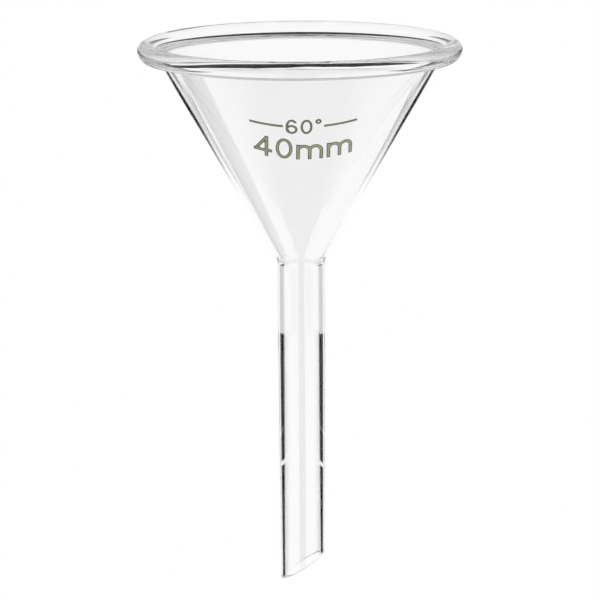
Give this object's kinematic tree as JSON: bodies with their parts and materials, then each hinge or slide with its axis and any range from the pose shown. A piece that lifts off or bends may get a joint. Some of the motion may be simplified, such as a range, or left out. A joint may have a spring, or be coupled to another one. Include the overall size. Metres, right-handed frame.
{
  "type": "conical glass laboratory funnel",
  "caption": "Clear glass cone funnel with a rolled rim and a short stem cut on a slant at its tip, standing on its mouth.",
  "frame": {"origin": "centre of the mouth, on the plane that the rolled rim stands on", "axes": "+Z along the axis from the mouth to the tip of the stem, +X towards the long side of the slanted tip, and the print is on the side towards -Y"},
  "size_m": [0.04, 0.04, 0.0681],
  "materials": {
    "glass": "clear, fire polished",
    "print": "olive fired enamel"
  },
  "bodies": {
    "root": {"funnel": "glass"}
  },
  "joints": []
}
